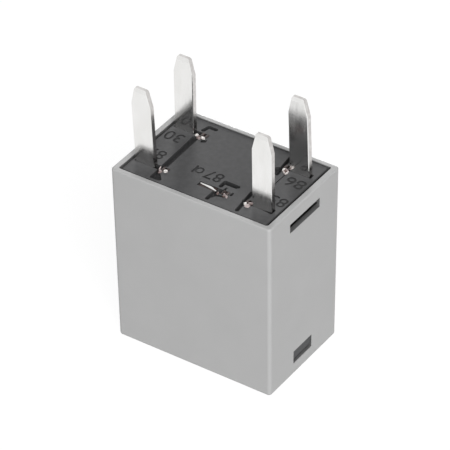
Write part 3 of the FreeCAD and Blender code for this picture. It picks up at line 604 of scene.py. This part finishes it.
sink("30", -8.89 * mm, 2.01 * mm)
sink("87", -8.68 * mm, -2.0 * mm)
sink("86", 8.78 * mm, 2.0 * mm, width=2.62 * mm)
sink("85", 9.02 * mm, -2.16 * mm)
sink("87", -0.17 * mm, -2.12 * mm)
sink("o", -2.30 * mm, -2.04 * mm, a_width, a_height)
sink("l", -2.95 * mm, -2.05 * mm, a_stem, a_rise)
bmesh.ops.remove_doubles(cutters, verts=cutters.verts, dist=0.0005 * mm)


def hollow(depth, outline, floor=None):
    """Adds the cutter for a hollow in the face: its depth, its outline and that of its floor, in mm."""
    top = [cutters.verts.new((x * mm, y * mm, base_top + 0.05 * mm)) for x, y in outline]
    low = [cutters.verts.new((x * mm, y * mm, base_top - depth * mm)) for x, y in floor or outline]
    cutters.faces.new(top)
    cutters.faces.new(low[::-1])
    for i in range(len(top)):
        j = (i + 1) % len(top)
        cutters.faces.new((top[i], low[i], low[j], top[j]))


# The groove between terminals 87 and 30, the two soft sides of terminal 87a's relief, and the
# worn hollows beside the stakes of 86, 30 and 85.
hollow(0.55, [(-6.74, -3.6), (-5.90, -3.6), (-6.10, 3.3), (-6.98, 3.3)],
       [(-6.74, -3.6), (-6.15, -3.6), (-6.35, 3.3), (-6.98, 3.3)])
hollow(0.40, [(1.7, -2.84), (3.5, -2.80), (3.5, -2.5), (1.7, -2.5)],
       [(1.7, -2.64), (3.4, -2.64), (3.4, -2.5), (1.7, -2.5)])
hollow(0.45, [(1.40, -4.85), (1.50, -5.9), (1.98, -5.85), (2.30, -5.3), (3.1, -5.1), (3.1, -4.85)])
hollow(0.45, [(4.95, 3.4), (5.2, 2.2), (6.0, 2.1), (6.1, 3.0), (5.9, 3.76), (5.3, 3.76)])
hollow(0.40, [(-5.75, 3.35), (-5.5, 2.75), (-4.95, 3.1), (-5.0, 3.6)])
hollow(0.45, [(5.28, -4.2), (5.55, -4.75), (5.84, -4.75), (5.84, -3.9), (5.45, -3.85)])
hollow(0.30, [(8.4, -4.56), (8.4, -4.63), (9.76, -4.76), (9.76, -4.56)])
bmesh.ops.recalc_face_normals(cutters, faces=cutters.faces)
cutter = bpy.data.objects.new("number_cutter", bpy.data.meshes.new("number_cutter"))
cutters.to_mesh(cutter.data)
cutters.free()
bpy.context.scene.collection.objects.link(cutter)
# The cutters carry the painted shade finish into the numbers and hollows they cut.
dress(cutter, painted_shade_moulding)

slot_reach = 0.5 * mm
base, mesh = own_copy("base", "numbered_base")
for slot_end, shift in ((-1.18 * mm, 0.2 * mm), (-10.3 * mm, 0.15 * mm), (9.9 * mm, -0.1 * mm)):
    for vert in mesh.verts:
        if abs(vert.co.x - slot_end) < 0.01 * mm and abs(abs(vert.co.y) - row_back) < slot_reach:
            vert.co.x += shift
mesh.to_mesh(base.data)
mesh.free()
for material in (dark_moulding, painted_shade_moulding, painted_shadow_moulding):
    base.data.materials.append(material)
sinking = base.modifiers.new("numbers", "BOOLEAN")
sinking.operation, sinking.solver, sinking.object = "DIFFERENCE", "EXACT", cutter
sinking.material_mode, sinking.use_self = "TRANSFER", True
evaluated = base.evaluated_get(bpy.context.evaluated_depsgraph_get())
numbered = bpy.data.meshes.new_from_object(evaluated)
base.modifiers.remove(sinking)
base.data = numbered
bpy.data.objects.remove(cutter)

catch_ledge, skirt_x, plate_bevel = 23.05 * mm, 10.6 * mm, 0.5 * mm
face_half_x, face_half_y = 10.3 * mm, 6.7 * mm
for face in base.data.polygons:
    x, y, z = face.center
    sloping = 0.2 < face.normal.z < 0.95 and abs(x) < face_half_x and abs(y) < face_half_y
    # Painted shadow: the catches' ledges and the skirt above them are painted near black.
    if abs(x) > skirt_x and catch_ledge - 0.01 * mm < z < base_top - plate_bevel:
        face.material_index = 2
    # Painted shade: the other faces below the base's face get the darker finish; the sloping sides of the
    # reliefs keep the base's own.
    elif z < base_top - 0.02 * mm and not sloping:
        face.material_index = 1
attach(base, "relay_frame")
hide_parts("base")


# Coil leads. The two ends of the coil's wire, each folded in three and twisted so that it is
# stronger, led up past the yoke's edge and over to its soldering post.

post_x, lead_y, joint_z = 7.6 * mm, 5.47 * mm, 15.8 * mm
strand_diameter, strand_offset, twist_pitch = 0.13 * mm, 0.08 * mm, 1.1 * mm
lead_bend, rise_steps, bend_steps = 0.5 * mm, 60, 8


def twisted_lead(name, post_face):
    """Three strands that turn about one path, from the coil's side up to the face of the post."""
    side = math.copysign(1, post_face)
    rise = joint_z - lead_bend - coil_axis_z
    path = [Vector((post_x, side * lead_y, coil_axis_z + rise * i / rise_steps))
            for i in range(rise_steps + 1)]
    centre = Vector((post_x, side * (lead_y - lead_bend), joint_z - lead_bend))
    path += [centre + Vector((0, side * math.cos(a), math.sin(a))) * lead_bend
             for a in [math.pi / 2 * i / bend_steps for i in range(1, bend_steps + 1)]]
    path.append(Vector((post_x, post_face, joint_z)))
    strands = bpy.data.curves.new(name, "CURVE")
    strands.dimensions, strands.bevel_depth, strands.bevel_resolution = "3D", strand_diameter / 2, 2
    strands.use_fill_caps = True
    for strand in range(3):
        spline = strands.splines.new("POLY")
        spline.points.add(len(path) - 1)
        run = 0
        for i, point in enumerate(path):
            ahead, behind = path[min(i + 1, len(path) - 1)], path[max(i - 1, 0)]
            run += (point - behind).length
            across = (ahead - behind).normalized().cross(Vector((1, 0, 0)))
            angle = 2 * math.pi * (run / twist_pitch + strand / 3)
            offset = (Vector((1, 0, 0)) * math.cos(angle) + across * math.sin(angle)) * strand_offset
            spline.points[i].co = (*(point + offset), 1)
    lead = bpy.data.objects.new(name, strands)
    bpy.context.scene.collection.objects.link(lead)
    evaluated = lead.evaluated_get(bpy.context.evaluated_depsgraph_get())
    mesh = bpy.data.meshes.new_from_object(evaluated)
    bpy.data.objects.remove(lead)
    piece = bpy.data.objects.new(name, mesh)
    bpy.context.scene.collection.objects.link(piece)
    mesh.shade_smooth()
    dress(piece, copper_enamel)
    return piece


for node, post_face in (("coil_lead_85", row_front - 0.4 * mm), ("coil_lead_86", row_back + 0.4 * mm)):
    lead = twisted_lead("twisted_" + node, post_face)
    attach(lead, "relay_frame")
    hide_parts(node)


# Solder joints. A bead of tin solder, melted round each post and its wire: fuller below, where it
# ran down, and drawn in to the post above.

bead_radius, bead_half_height = 0.74 * mm, 0.64 * mm
bead_sag, bead_ripple = 0.12, 0.04

tin_solder = finish("tin_solder", (0.72, 0.72, 0.73), 1.0, 0.2)
shades(tin_solder, speckle(tin_solder, 0.4 * mm), "Roughness", [(0.3, 0.14), (0.7, 0.30)])
relief(tin_solder, speckle(tin_solder, 0.5 * mm), 0.01 * mm)
beads = bmesh.new()
for y in (row_front, row_back):
    made = bmesh.ops.create_uvsphere(beads, u_segments=32, v_segments=20, radius=1)
    for vert in made["verts"]:
        z = vert.co.z
        sag = 1 - bead_sag * (z + 1) / 2
        ripple = 1 - bead_ripple * (1 + math.sin(3 * math.atan2(vert.co.y, vert.co.x) + 2 * z)) / 2
        vert.co = Vector((post_x + vert.co.x * bead_radius * sag * ripple,
                          y + vert.co.y * bead_radius * sag * ripple, joint_z + z * bead_half_height))
joints = bpy.data.objects.new("solder_beads", bpy.data.meshes.new("solder_beads"))
beads.to_mesh(joints.data)
beads.free()
bpy.context.scene.collection.objects.link(joints)
joints.data.shade_smooth()
dress(joints, tin_solder)
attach(joints, "relay_frame")
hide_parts("solder_joints")


# Cover. One moulded tub in grey polyester with a satin, finely eroded surface and a little draft.
# It slides over the works, and the base's two catches snap into its end windows.

cover_draft = 0.21 / 25.7
# Painted shade: the tub's inner walls, and the reveals of its windows, are painted darker than its outside,
# for the shade in the gap round the base and in the windows. They lie within these two half sizes in X and
# Y.
painted_shade_boxes = ((11.098 * mm, 7.258 * mm), (11.25 * mm, 5.0 * mm))
painted_shade_middle_z, painted_shade_half_height = 12.9 * mm, 12.7 * mm
grey_moulding = finish("grey_moulding", (0.43, 0.43, 0.43), 0.0, 0.42, specular=0.4)
tree = grey_moulding.node_tree
place = step(tree, "ShaderNodeTexCoord").outputs["Object"]
along = step(tree, "ShaderNodeSeparateXYZ", Vector=place).outputs
drawn_in = [reckon(tree, "ABSOLUTE", along[axis]) for axis in "XY"]
drawn_in = [reckon(tree, "MULTIPLY_ADD", along["Z"], -cover_draft, out) for out in drawn_in]
inner = None
for reach_x, reach_y in painted_shade_boxes:
    across = reckon(tree, "LESS_THAN", drawn_in[0], reach_x)
    deep = reckon(tree, "LESS_THAN", drawn_in[1], reach_y)
    both = reckon(tree, "MULTIPLY", across, deep)
    inner = reckon(tree, "MAXIMUM", both, inner or both)
between = reckon(tree, "COMPARE", along["Z"], painted_shade_middle_z, painted_shade_half_height)
inner = reckon(tree, "MULTIPLY", inner, between)
# Painted shade: inside the mask the pattern drops below the ramp's first stop, so the inner walls take its
# dark grey.
mottle_and_painted_shade = reckon(tree, "SUBTRACT", speckle(grey_moulding, 5 * mm), inner)
shades(grey_moulding, mottle_and_painted_shade, "Base Color",
       [(0.0, (0.13, 0.13, 0.13)), (0.2, (0.422, 0.422, 0.422)), (0.7, (0.440, 0.440, 0.440))])
relief(grey_moulding, speckle(grey_moulding, 0.14 * mm, detail=3.0), 0.004 * mm)
dress(cad["cover"], grey_moulding)


# Stand. A pale floor that keeps a faint shadow, even white all round, one soft lamp in front and
# to the right, a low one behind, and the camera where the photograph was taken from.

world = bpy.data.worlds.new("white_room")
bpy.context.scene.world = world
world.use_nodes = True
room_light = 0.18


def seen_directly(tree):
    """1 for what the camera, a mirror or clear plastic sees, and 0 for what lights the object."""
    path = step(tree, "ShaderNodeLightPath").outputs
    seen = reckon(tree, "MAXIMUM", path["Is Camera Ray"], path["Is Glossy Ray"])
    return reckon(tree, "MAXIMUM", seen, path["Is Transmission Ray"])


strength = step(world.node_tree, "ShaderNodeMapRange", Value=seen_directly(world.node_tree),
                To_Min=room_light, To_Max=1.0).outputs["Result"]
sky = world.node_tree.nodes["Background"]
sky.inputs["Color"].default_value = (1, 1, 1, 1)
world.node_tree.links.new(strength, sky.inputs["Strength"])

pale = bpy.data.materials.new("pale_floor")
pale.use_nodes = True
tree = pale.node_tree
tree.nodes.remove(tree.nodes["Principled BSDF"])
lit = step(tree, "ShaderNodeBsdfDiffuse", Color=(0.5, 0.5, 0.5, 1))
faint = step(tree, "ShaderNodeBsdfDiffuse", Color=(0.22, 0.22, 0.22, 1))
glow = step(tree, "ShaderNodeEmission", Color=(1, 1, 1, 1), Strength=0.86)
white = step(tree, "ShaderNodeAddShader", at0=faint.outputs[0], at1=glow.outputs[0])
choice = step(tree, "ShaderNodeMixShader", at0=seen_directly(tree), at1=lit.outputs[0],
              at2=white.outputs[0])
tree.links.new(choice.outputs[0], tree.nodes["Material Output"].inputs["Surface"])
floor = bpy.data.objects.new("floor", bpy.data.meshes.new("floor"))
reach = 3.0
floor.data.from_pydata([(-reach, -reach, 0), (reach, -reach, 0), (reach, reach, 0), (-reach, reach, 0)],
                       [], [(0, 1, 2, 3)])
floor.data.materials.append(pale)
bpy.context.scene.collection.objects.link(floor)

for name, place, size, energy in (("soft_lamp", (0.435, -0.465, 0.43), 0.8, 7.6),
                                  ("back_lamp", (-0.36, 0.60, 0.10), 0.19, 2.6)):
    lamp_data = bpy.data.lights.new(name, "AREA")
    lamp_data.shape, lamp_data.size, lamp_data.energy = "DISK", size, energy
    lamp = bpy.data.objects.new(name, lamp_data)
    lamp.location = place
    lamp.rotation_euler = (lamp.location - Vector((0, 0, 0.015))).to_track_quat("Z", "Y").to_euler()
    bpy.context.scene.collection.objects.link(lamp)

azimuth, elevation, roll = math.radians(34.3996), math.radians(36.9908), math.radians(-0.8058)
distance, aim_right, aim_up = 419.4094 * mm, -0.29206 * mm, 13.58766 * mm
back = Vector((math.sin(azimuth) * math.cos(elevation), -math.cos(azimuth) * math.cos(elevation),
               math.sin(elevation)))
level = Vector((math.cos(azimuth), math.sin(azimuth), 0))
steep = back.cross(level)
right = level * math.cos(roll) + steep * math.sin(roll)
up = steep * math.cos(roll) - level * math.sin(roll)
camera_data = bpy.data.cameras.new("camera")
camera_data.sensor_width, camera_data.lens = 36, 268.141
camera = bpy.data.objects.new("camera", camera_data)
camera.matrix_world = (Matrix.Translation(right * aim_right + up * aim_up + back * distance)
                       @ Matrix((right, up, back)).transposed().to_4x4())
bpy.context.scene.collection.objects.link(camera)
bpy.context.scene.camera = camera
bpy.context.scene.view_settings.view_transform = "Standard"
